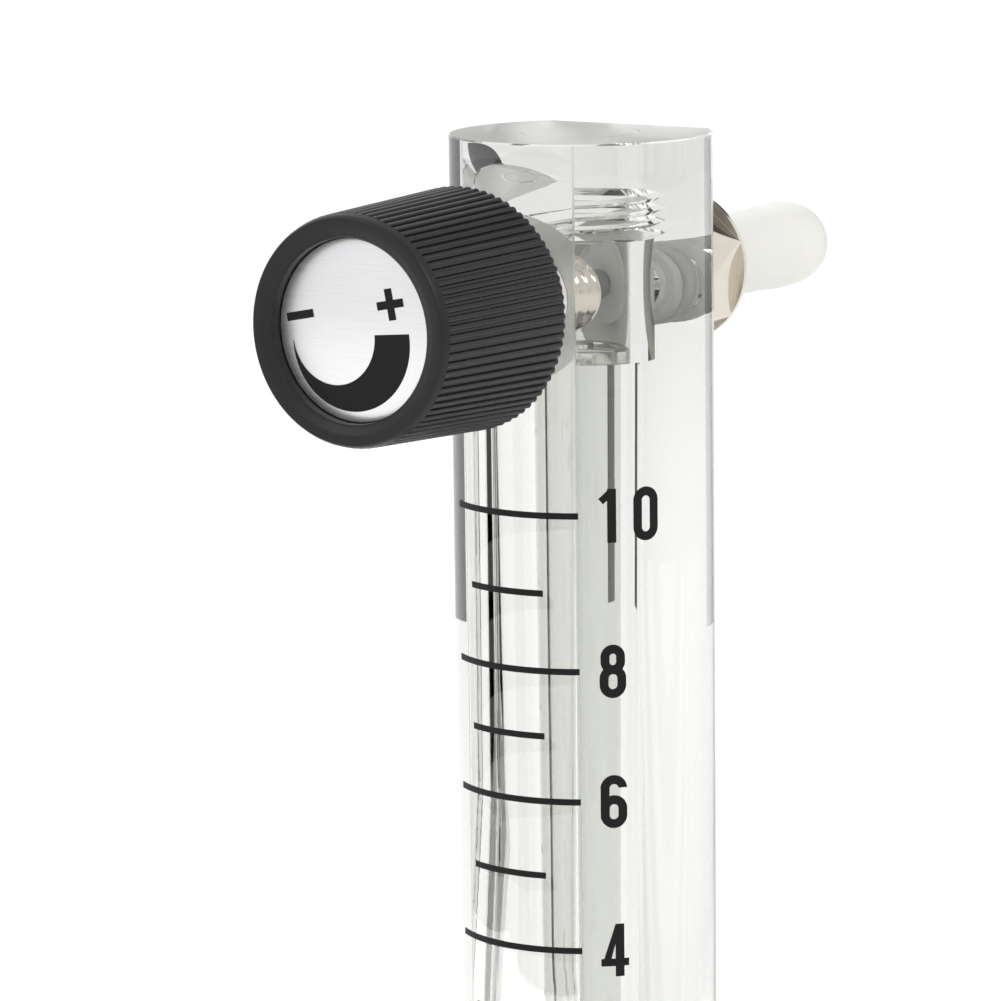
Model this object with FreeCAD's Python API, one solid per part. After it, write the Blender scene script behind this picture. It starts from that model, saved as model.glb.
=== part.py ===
"""Panel-mounted gas flow meter: clear acrylic block, float in a tapered bore, needle valve with a
knob at the top front, and two threaded hose tails that leave the flat back.

Units are millimetres. +Z is up, the knob faces -Y, and the hose tails point along +Y. The origin is
on the flat back face of the block, midway between the two ports.
"""
import FreeCAD, Part
import math
import os

V = FreeCAD.Vector
Y_DIR = V(0, 1, 0)
Z_DIR = V(0, 0, 1)
FRONT = V(0, -1, 0)
BACK = V(0, 1, 0)

# Block: a round rod with one flat
ROD_RADIUS = 12.5
BACK_OFFSET = 8.7                 # from the bore axis to the flat back
PORT_SPACING = 100.0              # between the inlet and the outlet axes
END_MARGIN = 14.5                 # from a port axis to the nearer end of the block
SPOT_FACE_RADIUS = 8.15
SPOT_FACE_DEPTH = 1.6

# Float tube and chambers
CHAMBER_RADIUS = 4.6
CHAMBER_DEPTH = 21.3              # from the end of the block to the shoulder
BORE_TOP_RADIUS = 3.65
BORE_BOTTOM_RADIUS = 3.0
PLUG_HEAD_RADIUS = 5.6
PLUG_HEAD_LENGTH = 4.9
PLUG_THREAD_RADIUS = 5.25
PLUG_LENGTH = 9.8
FIT_GAP = 0.05                    # radial gap of a threaded or a running fit

# Threaded hose tails with panel nuts
THREAD_RADIUS = 4.0               # M8
FITTING_INNER_END = 4.2           # measured from the bore axis
THREAD_END = 19.0
THREAD_LEAD = 0.4                 # chamfer at the ends of the threads
TAIL_RADIUS = 3.6
TAIL_CONE_START = 21.5
TAIL_BARB_RADIUS = 4.3
TAIL_BARB_START = 27.5
TAIL_BARB_END = 36.2
TAIL_END = 40.6
TAIL_NOSE_RADIUS = 3.1
PASSAGE_RADIUS = 2.0
SEAT_RADIUS = 1.1
SEAT_LENGTH = 1.0
SEAL_GROOVE_START = 5.2
SEAL_GROOVE_WIDTH = 1.4
SEAL_SECTION_RADIUS = 0.55
WASHER_RADIUS = 8.0
WASHER_THICKNESS = 1.6
WASHER_HOLE_RADIUS = 4.2
NUT_ACROSS_FLATS = 13.0
NUT_NOSE_RADIUS = 5.6             # the hexagon is turned to a long cone towards the block
NUT_CONE_LENGTH = 7.3
NUT_FLANGE_RADIUS = 7.4           # thin round flange behind the hexagon
NUT_FLANGE_THICKNESS = 0.5
NUT_TURN = 21.0                   # degrees from +X to one corner of the nut
HEX_LAND = 0.15                   # how far the round end of the gland nut lies inside its flats
HEX_CHAMFER = 30.0                # degrees

# Needle valve, measured forwards from the bore axis
BARREL_INNER_END = 3.0
GASKET_THICKNESS = 0.8
COLLAR_RADIUS = 5.6
COLLAR_LENGTH = 2.5
GLAND_THREAD_RADIUS = 3.4
GLAND_THREAD_END = 17.6
GLAND_NUT_START = 14.8
GLAND_NUT_END = 18.6
GLAND_NUT_ACROSS_FLATS = 9.0
STEM_RADIUS = 1.5
STEM_END = 33.0
SEAL_BORE_RADIUS = 2.6
SEAL_BORE_START = 12.2
STEM_GROOVE_RADIUS = 1.4
STEM_GROOVE_START = 13.0
STEM_GROOVE_WIDTH = 1.2
NEEDLE_TIP = -5.6                 # beyond the bore axis, inside the seat
NEEDLE_CONE_START = -3.2
NEEDLE_TIP_RADIUS = 0.35

# Knob
KNOB_REAR = 19.5
KNOB_FRONT = 38.6
KNOB_REAR_RADIUS = 11.3
KNOB_FRONT_RADIUS = 10.6
KNOB_RIM_RADIUS = 10.15
KNOB_EDGE = 0.8
RIM_INNER_RADIUS = 9.25
RECESS_RADIUS = 8.35
PLATE_RADIUS = 8.3
PLATE_FRONT = 37.1
PLATE_THICKNESS = 0.8
SKIRT_INNER_RADIUS = 9.3
SKIRT_DEPTH = 6.5
HUB_RADIUS = 5.2
HUB_REAR = 20.5
INSERT_RADIUS = 3.5
PRESS_GAP = 0.02                  # radial gap of the brass bush in the hub and on the stem
RIM_BEVEL_DEPTH = 0.35
SCREW_HEAD_RADIUS = 2.3
SCREW_HEAD_START = 34.0
SCREW_HEAD_HEIGHT = 1.6
SCREW_RADIUS = 1.25
SCREW_END = 29.0
SCREW_HOLE_END = 28.5
SCREW_SLOT_WIDTH = 0.7
SCREW_SLOT_DEPTH = 0.8
SCREW_HEAD_GAP = 0.3
PRINT_THICKNESS = 0.06

# Print on the knob's plate: centres (x, height) from the knob's axis
PRINT_LEAN = 11.0                 # degrees, the signs lean anticlockwise
SIGN_STROKE = 0.75
MINUS_CENTRE = (-6.05, 1.0)
MINUS_LENGTH = 2.9
PLUS_CENTRE = (3.8, 2.55)
PLUS_LENGTH = 2.85
WEDGE_OUTER_CENTRE = (-0.5, -1.0)
WEDGE_OUTER_RADIUS = 6.35
WEDGE_INNER_CENTRE = (-2.4, -0.6)
WEDGE_INNER_RADIUS = 4.5
WEDGE_TOP = -0.45
WEDGE_TOP_LEAN = 5.0

# Float and its stops
FLOAT_RADIUS = 2.65
FLOAT_FOOT_RADIUS = 2.2
FLOAT_END_RADIUS = 1.9
FLOAT_WAIST_RADIUS = 1.5
FLOAT_FOOT_LENGTH = 2.5
FLOAT_WAIST_START = 3.4
FLOAT_WAIST_END = 4.4
FLOAT_RIM_START = 7.2
FLOAT_RIM_END = 8.2
FLOAT_LENGTH = 9.0
FLOAT_REST_GAP = 0.02
STOP_THICKNESS = 1.2
STOP_HOLE_RADIUS = 1.3
STOP_SLOT_WIDTH = 1.2
STOP_SLOT_REACH = 3.2

# Printed scale, heights above the middle of the block; the odd readings lie halfway between
READING_HEIGHTS = {10: 29.8, 8: 15.0, 6: 2.5, 4: -11.9, 2: -25.1, 1: -31.5}
LONG_MARK_ANGLES = (-37.0, 30.4)  # degrees round the rod from the front, positive towards +X
SHORT_MARK_ANGLES = (-25.0, 14.7)
MARK_THICKNESS = 0.6
DIGIT_START_ANGLE = 38.9
DIGIT_HEIGHT = 5.1
DIGIT_WIDTH = 2.55
DIGIT_STROKE = 0.85
DIGIT_PITCH = 3.4
PRINT_OFFSET = 0.01

HALF_HEIGHT = PORT_SPACING / 2 + END_MARGIN
OUTLET_Z = PORT_SPACING / 2
INLET_Z = -PORT_SPACING / 2
BORE_TOP_Z = HALF_HEIGHT - CHAMBER_DEPTH
BORE_BOTTOM_Z = -BORE_TOP_Z
SPOT_FACE = ROD_RADIUS - SPOT_FACE_DEPTH
HUGE = 200.0


def on_axis(z=0.0):
    """Point on the axis of the tapered bore at height z."""
    return V(0, -BACK_OFFSET, z)


def turned(profile, centre, direction):
    """Solid of revolution from (distance along the axis, radius) points, closed back to the axis."""
    outline = [(profile[0][0], 0.0)] + list(profile) + [(profile[-1][0], 0.0)]
    points = [V(radius, 0, along) for along, radius in outline]
    clean = [points[0]]
    for point in points[1:]:
        if point.distanceToPoint(clean[-1]) > 1e-6:
            clean.append(point)
    wire = Part.makePolygon(clean + [clean[0]])
    solid = Part.Face(wire).revolve(V(0, 0, 0), Z_DIR, 360)
    turn = FreeCAD.Rotation(Z_DIR, direction)
    solid.Placement = FreeCAD.Placement(centre, turn)
    return solid


def rod(radius, start, end, centre, direction):
    """Plain cylinder between two distances along a direction from a centre."""
    return Part.makeCylinder(radius, end - start, centre + direction * start, direction)


def torus_ring(ring_radius, section_radius, along, centre, direction):
    """O-ring around the given direction."""
    return Part.makeTorus(ring_radius, section_radius, centre + direction * along, direction)


def hexagon(across_flats, start, end, centre, direction, envelope, turn=0.0):
    """Hexagonal bar turned down to an envelope of (distance, radius); one corner is turned from +X."""
    corner = across_flats / math.sqrt(3)
    points = []
    for step in range(7):
        angle = math.radians(turn + 60 * step)
        points.append(V(corner * math.cos(angle), 0, corner * math.sin(angle)))
    low = min(start * direction.y, end * direction.y)
    length = end - start
    face = Part.Face(Part.makePolygon(points))
    bar = face.extrude(V(0, length, 0))
    bar.translate(V(centre.x, centre.y + low, centre.z))
    return bar.common(turned(envelope, centre, direction))


def bore_radius(z):
    """Radius of the tapered tube at height z."""
    share = (z - BORE_BOTTOM_Z) / (BORE_TOP_Z - BORE_BOTTOM_Z)
    return BORE_BOTTOM_RADIUS + share * (BORE_TOP_RADIUS - BORE_BOTTOM_RADIUS)


def make_meter_body():
    """Clear block with the tapered tube, the end chambers, the ports and the valve's spot face."""
    block = rod(ROD_RADIUS, -HALF_HEIGHT, HALF_HEIGHT, on_axis(), Z_DIR)
    block = block.cut(Part.makeBox(HUGE, HUGE, HUGE, V(-HUGE / 2, 0, -HUGE / 2)))
    cavities = [turned([(BORE_BOTTOM_Z - 1, bore_radius(BORE_BOTTOM_Z)),
                        (BORE_BOTTOM_Z, BORE_BOTTOM_RADIUS),
                        (BORE_TOP_Z, BORE_TOP_RADIUS),
                        (BORE_TOP_Z + 1, BORE_TOP_RADIUS)], on_axis(), Z_DIR)]
    for direction in (Z_DIR, -Z_DIR):
        cavities.append(rod(CHAMBER_RADIUS, BORE_TOP_Z, HALF_HEIGHT, on_axis(), direction))
        cavities.append(rod(PLUG_THREAD_RADIUS + FIT_GAP, HALF_HEIGHT - PLUG_LENGTH, HALF_HEIGHT,
                            on_axis(), direction))
        cavities.append(rod(PLUG_HEAD_RADIUS + FIT_GAP, HALF_HEIGHT - PLUG_HEAD_LENGTH,
                            HALF_HEIGHT + 1, on_axis(), direction))
    for z in (OUTLET_Z, INLET_Z):
        cavities.append(rod(THREAD_RADIUS, 0, BACK_OFFSET + 1, on_axis(z), BACK))
    cavities.append(rod(THREAD_RADIUS, 0, ROD_RADIUS, on_axis(OUTLET_Z), FRONT))
    cavities.append(rod(SPOT_FACE_RADIUS, SPOT_FACE, ROD_RADIUS + 1, on_axis(OUTLET_Z), FRONT))
    for cavity in cavities:
        block = block.cut(cavity)
    return block


def make_plug(direction):
    """Threaded end plug, bonded flush with the end of the block."""
    return turned([(HALF_HEIGHT - PLUG_LENGTH, PLUG_THREAD_RADIUS),
                   (HALF_HEIGHT - PLUG_HEAD_LENGTH, PLUG_THREAD_RADIUS),
                   (HALF_HEIGHT - PLUG_HEAD_LENGTH, PLUG_HEAD_RADIUS),
                   (HALF_HEIGHT, PLUG_HEAD_RADIUS)], on_axis(), direction)


def make_float_stop(direction):
    """Slotted disc on the shoulder of a chamber; gas passes through its cross of slots."""
    start = BORE_TOP_Z
    end = BORE_TOP_Z + STOP_THICKNESS
    disc = rod(CHAMBER_RADIUS - FIT_GAP, start, end, on_axis(), direction)
    disc = disc.cut(rod(STOP_HOLE_RADIUS, start - 1, end + 1, on_axis(), direction))
    low = min(start * direction.z, end * direction.z) - 1
    for size_x, size_y in ((STOP_SLOT_REACH, STOP_SLOT_WIDTH / 2), (STOP_SLOT_WIDTH / 2, STOP_SLOT_REACH)):
        slot = Part.makeBox(2 * size_x, 2 * size_y, STOP_THICKNESS + 2,
                            V(-size_x, -BACK_OFFSET - size_y, low))
        disc = disc.cut(slot)
    return disc


def make_float():
    """Turned float that rests on the lower stop; its top edge is the reading edge."""
    base = BORE_BOTTOM_Z + FLOAT_REST_GAP
    profile = [(0, FLOAT_END_RADIUS),
               (FLOAT_FOOT_RADIUS - FLOAT_END_RADIUS, FLOAT_FOOT_RADIUS),
               (FLOAT_FOOT_LENGTH, FLOAT_FOOT_RADIUS),
               (FLOAT_WAIST_START, FLOAT_WAIST_RADIUS),
               (FLOAT_WAIST_END, FLOAT_WAIST_RADIUS),
               (FLOAT_RIM_START, FLOAT_RADIUS),
               (FLOAT_RIM_END, FLOAT_RADIUS),
               (FLOAT_LENGTH, FLOAT_END_RADIUS)]
    return turned([(base + along, radius) for along, radius in profile], on_axis(), Z_DIR)


def make_hose_fitting(z, has_seat):
    """Threaded hose tail; the outlet's inner end narrows to the seat of the needle."""
    thread = THREAD_RADIUS - FIT_GAP
    groove = THREAD_RADIUS - 2 * SEAL_SECTION_RADIUS - FIT_GAP
    nose = []
    for step in range(7):
        angle = math.radians(15 * step)
        along = TAIL_BARB_END + (TAIL_END - TAIL_BARB_END) * math.sin(angle)
        radius = TAIL_NOSE_RADIUS + (TAIL_BARB_RADIUS - TAIL_NOSE_RADIUS) * math.cos(angle)
        nose.append((along, radius))
    outside = turned([(FITTING_INNER_END, thread - THREAD_LEAD),
                      (FITTING_INNER_END + THREAD_LEAD, thread),
                      (SEAL_GROOVE_START, thread),
                      (SEAL_GROOVE_START, groove),
                      (SEAL_GROOVE_START + SEAL_GROOVE_WIDTH, groove),
                      (SEAL_GROOVE_START + SEAL_GROOVE_WIDTH, thread),
                      (THREAD_END - THREAD_LEAD, thread),
                      (THREAD_END, TAIL_RADIUS),
                      (TAIL_CONE_START, TAIL_RADIUS),
                      (TAIL_BARB_START, TAIL_BARB_RADIUS)] + nose, on_axis(z), BACK)
    passage_start = FITTING_INNER_END - 1
    if has_seat:
        outside = outside.cut(rod(SEAT_RADIUS, passage_start, FITTING_INNER_END + 2, on_axis(z), BACK))
        passage_start = FITTING_INNER_END + SEAT_LENGTH
    return outside.cut(rod(PASSAGE_RADIUS, passage_start, TAIL_END + 1, on_axis(z), BACK))


def make_fitting_seal(z):
    """O-ring in the groove of a hose fitting, inside the port of the block."""
    ring_radius = THREAD_RADIUS - SEAL_SECTION_RADIUS - FIT_GAP / 2
    along = SEAL_GROOVE_START + SEAL_GROOVE_WIDTH / 2
    return torus_ring(ring_radius, SEAL_SECTION_RADIUS, along, on_axis(z), BACK)


def make_washer(z):
    """Flat nylon washer against the back of the block."""
    end = BACK_OFFSET + WASHER_THICKNESS
    disc = rod(WASHER_RADIUS, BACK_OFFSET, end, on_axis(z), BACK)
    return disc.cut(rod(WASHER_HOLE_RADIUS, BACK_OFFSET - 1, end + 1, on_axis(z), BACK))


def make_panel_nut(z):
    """Hexagonal nut that clamps a panel between itself and the block."""
    start = BACK_OFFSET + WASHER_THICKNESS
    flange = start + NUT_CONE_LENGTH
    end = flange + NUT_FLANGE_THICKNESS
    envelope = [(start, NUT_NOSE_RADIUS),
                (flange, NUT_ACROSS_FLATS / math.sqrt(3))]
    nut = hexagon(NUT_ACROSS_FLATS, start, flange, on_axis(z), BACK, envelope, NUT_TURN)
    nut = nut.fuse(rod(NUT_FLANGE_RADIUS, flange, end, on_axis(z), BACK)).removeSplitter()
    return nut.cut(rod(THREAD_RADIUS, 0, TAIL_END, on_axis(z), BACK))


def make_valve_gasket():
    """Flat gasket between the valve's collar and the spot face."""
    end = SPOT_FACE + GASKET_THICKNESS
    ring = rod(COLLAR_RADIUS, SPOT_FACE, end, on_axis(OUTLET_Z), FRONT)
    return ring.cut(rod(THREAD_RADIUS, 0, end + 1, on_axis(OUTLET_Z), FRONT))


def make_valve_body():
    """Plated valve body: threaded barrel, collar and the threaded neck for the gland nut."""
    collar = SPOT_FACE + GASKET_THICKNESS
    outside = turned([(BARREL_INNER_END, THREAD_RADIUS - FIT_GAP - THREAD_LEAD),
                      (BARREL_INNER_END + THREAD_LEAD, THREAD_RADIUS - FIT_GAP),
                      (collar, THREAD_RADIUS - FIT_GAP),
                      (collar, COLLAR_RADIUS),
                      (collar + COLLAR_LENGTH, COLLAR_RADIUS),
                      (collar + COLLAR_LENGTH, GLAND_THREAD_RADIUS),
                      (GLAND_THREAD_END, GLAND_THREAD_RADIUS)], on_axis(OUTLET_Z), FRONT)
    outside = outside.cut(rod(STEM_RADIUS + FIT_GAP, 0, HUGE, on_axis(OUTLET_Z), FRONT))
    return outside.cut(rod(SEAL_BORE_RADIUS, SEAL_BORE_START, HUGE, on_axis(OUTLET_Z), FRONT))


def make_gland_nut():
    """Cap nut that closes the seal bore round the stem."""
    corner = GLAND_NUT_ACROSS_FLATS / math.sqrt(3)
    lid = GLAND_NUT_ACROSS_FLATS / 2 - HEX_LAND
    rise = (corner - lid) * math.tan(math.radians(HEX_CHAMFER))
    envelope = [(GLAND_NUT_START, lid),
                (GLAND_NUT_START + rise, corner),
                (GLAND_NUT_END - rise, corner),
                (GLAND_NUT_END, lid)]
    nut = hexagon(GLAND_NUT_ACROSS_FLATS, GLAND_NUT_START, GLAND_NUT_END, on_axis(OUTLET_Z), FRONT,
                  envelope)
    nut = nut.cut(rod(GLAND_THREAD_RADIUS + FIT_GAP, 0, GLAND_THREAD_END, on_axis(OUTLET_Z), FRONT))
    return nut.cut(rod(STEM_RADIUS + FIT_GAP, 0, HUGE, on_axis(OUTLET_Z), FRONT))


def make_stem_seal():
    """O-ring that travels with the stem inside the valve body's seal bore."""
    outer = SEAL_BORE_RADIUS - FIT_GAP
    inner = STEM_GROOVE_RADIUS + FIT_GAP
    along = STEM_GROOVE_START + STEM_GROOVE_WIDTH / 2
    return torus_ring((outer + inner) / 2, (outer - inner) / 2, along, on_axis(OUTLET_Z), FRONT)


def make_valve_stem():
    """Stem with a groove for its seal and a tapered needle that closes the seat."""
    groove_end = STEM_GROOVE_START + STEM_GROOVE_WIDTH
    stem = turned([(NEEDLE_TIP, NEEDLE_TIP_RADIUS),
                   (NEEDLE_CONE_START, STEM_RADIUS),
                   (STEM_GROOVE_START, STEM_RADIUS),
                   (STEM_GROOVE_START, STEM_GROOVE_RADIUS),
                   (groove_end, STEM_GROOVE_RADIUS),
                   (groove_end, STEM_RADIUS),
                   (STEM_END, STEM_RADIUS)], on_axis(OUTLET_Z), FRONT)
    screw_hole = rod(SCREW_RADIUS + FIT_GAP, SCREW_HOLE_END, STEM_END + 1, on_axis(OUTLET_Z), FRONT)
    return stem.cut(screw_hole)


def make_knob():
    """Moulded knob, slightly wider at the rear, hollow behind and recessed in front for its plate."""
    seat = PLATE_FRONT - PLATE_THICKNESS
    solid = turned([(KNOB_REAR, KNOB_REAR_RADIUS - KNOB_EDGE / 2),
                    (KNOB_REAR + KNOB_EDGE, KNOB_REAR_RADIUS),
                    (KNOB_FRONT - KNOB_EDGE, KNOB_FRONT_RADIUS),
                    (KNOB_FRONT - KNOB_EDGE / 4, (KNOB_RIM_RADIUS * 2 + KNOB_FRONT_RADIUS) / 3),
                    (KNOB_FRONT, KNOB_RIM_RADIUS)], on_axis(OUTLET_Z), FRONT)
    recess = turned([(seat, RECESS_RADIUS),
                     (KNOB_FRONT - RIM_BEVEL_DEPTH, RECESS_RADIUS),
                     (KNOB_FRONT, RIM_INNER_RADIUS),
                     (KNOB_FRONT + 1, RIM_INNER_RADIUS)], on_axis(OUTLET_Z), FRONT)
    hollow = rod(SKIRT_INNER_RADIUS, KNOB_REAR - 1, KNOB_REAR + SKIRT_DEPTH, on_axis(OUTLET_Z), FRONT)
    hollow = hollow.cut(rod(HUB_RADIUS, HUB_REAR, KNOB_FRONT, on_axis(OUTLET_Z), FRONT))
    cuts = [recess,
            hollow,
            rod(INSERT_RADIUS, 0, STEM_END, on_axis(OUTLET_Z), FRONT),
            rod(SCREW_RADIUS + FIT_GAP, STEM_END - 1, seat + 1, on_axis(OUTLET_Z), FRONT),
            rod(SCREW_HEAD_RADIUS + SCREW_HEAD_GAP, SCREW_HEAD_START, seat + 1, on_axis(OUTLET_Z), FRONT)]
    for cut in cuts:
        solid = solid.cut(cut)
    return solid


def make_knob_insert():
    """Brass bush in the hub of the knob, pushed over the stem."""
    bush = rod(INSERT_RADIUS - PRESS_GAP, HUB_REAR, STEM_END, on_axis(OUTLET_Z), FRONT)
    return bush.cut(rod(STEM_RADIUS + PRESS_GAP, 0, STEM_END + 1, on_axis(OUTLET_Z), FRONT))


def make_knob_screw():
    """Slotted screw that holds the knob on the stem, hidden by the plate."""
    head_end = SCREW_HEAD_START + SCREW_HEAD_HEIGHT
    head = rod(SCREW_HEAD_RADIUS, SCREW_HEAD_START, head_end, on_axis(OUTLET_Z), FRONT)
    shank = rod(SCREW_RADIUS, SCREW_END, head_end - SCREW_SLOT_DEPTH, on_axis(OUTLET_Z), FRONT)
    slot = Part.makeBox(2 * SCREW_HEAD_RADIUS, SCREW_SLOT_DEPTH, SCREW_SLOT_WIDTH)
    slot.translate(on_axis(OUTLET_Z) + FRONT * head_end - V(SCREW_HEAD_RADIUS, 0, SCREW_SLOT_WIDTH / 2))
    return head.fuse(shank).cut(slot).removeSplitter()


def make_knob_plate():
    """Brushed disc in the front recess of the knob."""
    return rod(PLATE_RADIUS, PLATE_FRONT - PLATE_THICKNESS, PLATE_FRONT, on_axis(OUTLET_Z), FRONT)


def plate_slab(face):
    """Extrude a flat face, drawn in the XZ plane round the knob axis, as print on the plate."""
    slab = face.extrude(V(0, -PRINT_THICKNESS, 0))
    slab.translate(on_axis(OUTLET_Z) + FRONT * PLATE_FRONT)
    return slab


def bar_face(centre_x, centre_z, width, height, lean=0.0):
    """Rectangle in the XZ plane, turned by lean degrees about its own centre."""
    half_x = width / 2
    half_z = height / 2
    corners = [V(-half_x, 0, -half_z), V(half_x, 0, -half_z), V(half_x, 0, half_z), V(-half_x, 0, half_z)]
    turn = FreeCAD.Rotation(Y_DIR, -lean)
    placed = [turn.multVec(corner) + V(centre_x, 0, centre_z) for corner in corners]
    return Part.Face(Part.makePolygon(placed + [placed[0]]))


def disc_face(centre_x, centre_z, radius):
    """Round face in the XZ plane."""
    circle = Part.Circle(V(centre_x, 0, centre_z), Y_DIR, radius)
    return Part.Face(Part.Wire(circle.toShape()))


def make_knob_marking():
    """Printed minus, plus and the wedge that grows towards the open side."""
    minus = bar_face(*MINUS_CENTRE, MINUS_LENGTH, SIGN_STROKE, PRINT_LEAN)
    plus = bar_face(*PLUS_CENTRE, PLUS_LENGTH, SIGN_STROKE, PRINT_LEAN)
    plus = plus.fuse(bar_face(*PLUS_CENTRE, SIGN_STROKE, PLUS_LENGTH, PRINT_LEAN)).removeSplitter()
    wedge = disc_face(*WEDGE_OUTER_CENTRE, WEDGE_OUTER_RADIUS)
    wedge = wedge.cut(disc_face(*WEDGE_INNER_CENTRE, WEDGE_INNER_RADIUS))
    wedge = wedge.cut(bar_face(0, WEDGE_TOP + PLATE_RADIUS, 4 * PLATE_RADIUS, 2 * PLATE_RADIUS,
                               WEDGE_TOP_LEAN))
    return Part.makeCompound([plate_slab(face) for face in minus.Faces + plus.Faces + wedge.Faces])


def print_shell(start_angle, end_angle, low, high):
    """Thin curved patch of print on the front of the rod between two angles and two heights."""
    inner = ROD_RADIUS + PRINT_OFFSET
    outer = inner + PRINT_THICKNESS
    sweep = end_angle - start_angle
    patch = Part.makeCylinder(outer, high - low, V(0, 0, 0), Z_DIR, sweep)
    patch = patch.cut(Part.makeCylinder(inner, high - low, V(0, 0, 0), Z_DIR))
    patch.rotate(V(0, 0, 0), Z_DIR, start_angle - 90)
    patch.translate(on_axis(low))
    return patch


def make_scale_marks():
    """Long marks at the numbered readings and short marks halfway between them."""
    long_heights = list(READING_HEIGHTS.values())
    numbered = [reading for reading in READING_HEIGHTS if reading % 2 == 0]
    short_heights = [(READING_HEIGHTS[high] + READING_HEIGHTS[high - 2]) / 2
                     for high in numbered if high - 2 in READING_HEIGHTS]
    marks = []
    for heights, (start, end) in ((long_heights, LONG_MARK_ANGLES), (short_heights, SHORT_MARK_ANGLES)):
        for z in heights:
            marks.append(print_shell(start, end, z - MARK_THICKNESS / 2, z + MARK_THICKNESS / 2))
    return Part.makeCompound(marks)


def slot_face(left, bottom, width, height):
    """Upright slot shape with fully rounded ends."""
    radius = width / 2
    middle = bar_face(left + radius, bottom + height / 2, width, height - width)
    top = disc_face(left + radius, bottom + height - radius, radius)
    base = disc_face(left + radius, bottom + radius, radius)
    return middle.fuse([top, base]).removeSplitter()


def ring_face(left, bottom, width, height):
    """Slot outline with the stroke's width all round."""
    hole = slot_face(left + DIGIT_STROKE, bottom + DIGIT_STROKE,
                     width - 2 * DIGIT_STROKE, height - 2 * DIGIT_STROKE)
    return slot_face(left, bottom, width, height).cut(hole)


def digit_face(digit):
    """Flat outline of one digit with its lower left corner at the origin."""
    width = DIGIT_WIDTH
    height = DIGIT_HEIGHT
    stroke = DIGIT_STROKE
    waist = height * 0.45
    if digit == "0":
        return ring_face(0, 0, width, height)
    if digit == "1":
        stem = bar_face(width * 0.5, height / 2, stroke, height)
        flag = bar_face(width * 0.28, height * 0.85, width * 0.5, stroke * 0.8, 42)
        return stem.fuse(flag)
    if digit == "8":
        upper = ring_face(width * 0.04, waist, width * 0.92, height - waist)
        return upper.fuse(ring_face(0, 0, width, waist + stroke))
    if digit == "6":
        lower = ring_face(0, 0, width, height * 0.62)
        hook = ring_face(0, 0, width, height).cut(bar_face(width / 2, 0, width + 1, height * 1.52))
        spine = bar_face(stroke / 2, height * 0.5, stroke, height * 0.62)
        return lower.fuse([hook, spine])
    if digit == "4":
        stem = bar_face(width * 0.68, height / 2, stroke, height)
        cross = bar_face(width / 2, height * 0.27, width * 1.05, stroke * 0.85)
        slope = [V(0, 0, height * 0.22), V(stroke * 0.85, 0, height * 0.22),
                 V(width * 0.6, 0, height * 0.78), V(width * 0.6, 0, height), V(width * 0.52, 0, height)]
        return stem.fuse([cross, Part.Face(Part.makePolygon(slope + [slope[0]]))])
    arch = ring_face(0, 0, width, height).cut(bar_face(width / 2, 0, width + 1, height * 1.3))
    slope = [V(0, 0, stroke * 0.9), V(stroke * 1.2, 0, stroke * 0.9), V(width, 0, height * 0.65),
             V(width - stroke, 0, height * 0.65)]
    base = bar_face(width / 2, stroke * 0.45, width, stroke * 0.9)
    return arch.fuse([Part.Face(Part.makePolygon(slope + [slope[0]])), base])


def make_scale_digits():
    """Numbers printed round the right front of the rod, level with their marks."""
    shell = Part.makeCylinder(ROD_RADIUS + PRINT_OFFSET + PRINT_THICKNESS, 2 * HALF_HEIGHT,
                              on_axis(-HALF_HEIGHT), Z_DIR)
    shell = shell.cut(Part.makeCylinder(ROD_RADIUS + PRINT_OFFSET, 2 * HALF_HEIGHT,
                                        on_axis(-HALF_HEIGHT), Z_DIR))
    solids = []
    for reading, z in READING_HEIGHTS.items():
        for index, digit in enumerate(str(reading)):
            centre_angle = DIGIT_START_ANGLE + math.degrees(
                (DIGIT_WIDTH / 2 + index * DIGIT_PITCH) / ROD_RADIUS)
            strokes = [face.extrude(V(0, -ROD_RADIUS * 1.5, 0)) for face in digit_face(digit).Faces]
            block = strokes[0].fuse(strokes[1:]) if len(strokes) > 1 else strokes[0]
            block.translate(V(-DIGIT_WIDTH / 2, 0, z - DIGIT_HEIGHT / 2))
            block.rotate(V(0, 0, 0), Z_DIR, centre_angle)
            block.translate(on_axis())
            solids.extend(shell.common(block).Solids)
    return Part.makeCompound(solids)


def parts():
    """Every node of the meter with its shape."""
    made = {"meter_body": make_meter_body(),
            "top_plug": make_plug(Z_DIR),
            "bottom_plug": make_plug(-Z_DIR),
            "upper_float_stop": make_float_stop(Z_DIR),
            "lower_float_stop": make_float_stop(-Z_DIR),
            "metering_float": make_float(),
            "valve_gasket": make_valve_gasket(),
            "valve_body": make_valve_body(),
            "gland_nut": make_gland_nut(),
            "stem_o_ring": make_stem_seal(),
            "valve_stem": make_valve_stem(),
            "knob": make_knob(),
            "knob_insert": make_knob_insert(),
            "knob_screw": make_knob_screw(),
            "knob_plate": make_knob_plate(),
            "knob_marking": make_knob_marking(),
            "scale_marks": make_scale_marks(),
            "scale_digits": make_scale_digits()}
    for port, z, has_seat in (("outlet", OUTLET_Z, True), ("inlet", INLET_Z, False)):
        made[port + "_hose_tail"] = make_hose_fitting(z, has_seat)
        made[port + "_o_ring"] = make_fitting_seal(z)
        made[port + "_washer"] = make_washer(z)
        made[port + "_panel_nut"] = make_panel_nut(z)
    return made


os.makedirs("parts", exist_ok=True)
for node, shape in parts().items():
    shape.exportStep("parts/" + node + ".step")
    print(node, len(shape.Solids), round(shape.Volume, 2), shape.isValid())
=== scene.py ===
import math

import bmesh
import bpy
from mathutils import Matrix, Vector


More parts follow.
